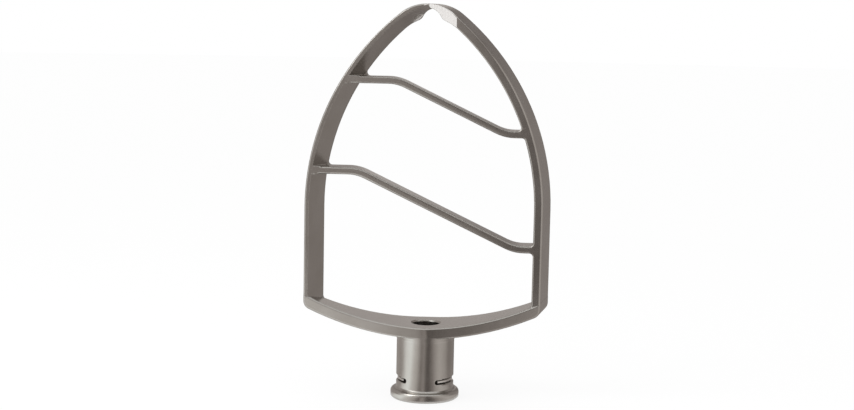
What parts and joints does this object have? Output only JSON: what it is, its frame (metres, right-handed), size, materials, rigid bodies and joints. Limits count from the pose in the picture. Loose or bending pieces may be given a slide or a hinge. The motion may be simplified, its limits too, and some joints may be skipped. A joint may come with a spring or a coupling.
{
  "type": "stand mixer flat beater",
  "caption": "Flat beater for a stand mixer: cast steel frame with a pointed arch and sloping cross bars on a hub with a spring wire.",
  "frame": {"origin": "middle of the hub rim's face, which the beater stands on", "axes": "+Z along the drive shaft's bore, from the hub to the tip of the arch; X across the frame; Y through its depth"},
  "size_m": [0.1182, 0.0332, 0.19],
  "materials": {
    "cast_steel": "satin",
    "spring_steel": "drawn, semi-bright"
  },
  "bodies": {
    "root": {"beater_casting": "cast_steel", "retaining_spring": "spring_steel"}
  },
  "joints": []
}
